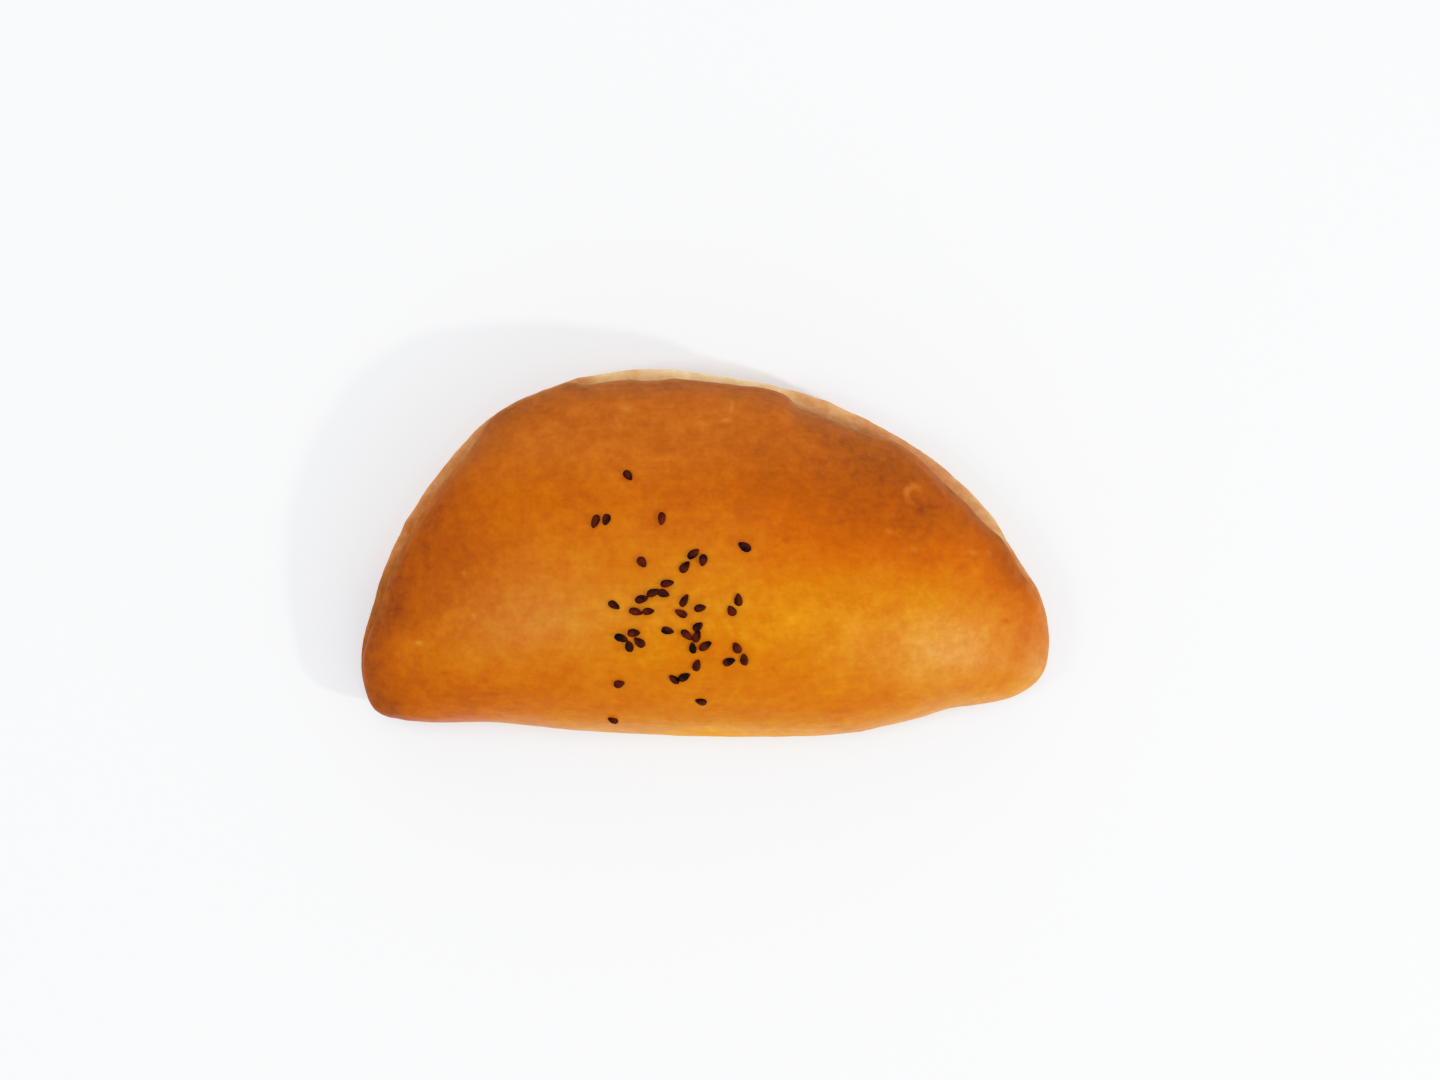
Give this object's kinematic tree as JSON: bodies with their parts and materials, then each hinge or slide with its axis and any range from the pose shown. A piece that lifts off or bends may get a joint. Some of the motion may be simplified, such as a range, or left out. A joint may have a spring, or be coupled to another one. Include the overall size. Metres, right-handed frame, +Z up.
{
  "type": "cheese pastry",
  "caption": "Half-moon cheese pastry of soft egg-washed dough, folded and sealed round its curved side, with nigella seeds on top.",
  "frame": {"origin": "under the middle of the pastry's box, on the surface that it lies on", "axes": "+X along the straight folded side, +Y from the fold to the curved seam side, +Z up"},
  "size_m": [0.14, 0.0748, 0.0359],
  "materials": {
    "crust": "satin",
    "seeds": "satin"
  },
  "bodies": {
    "root": {"pastry": "crust"}
  },
  "joints": []
}
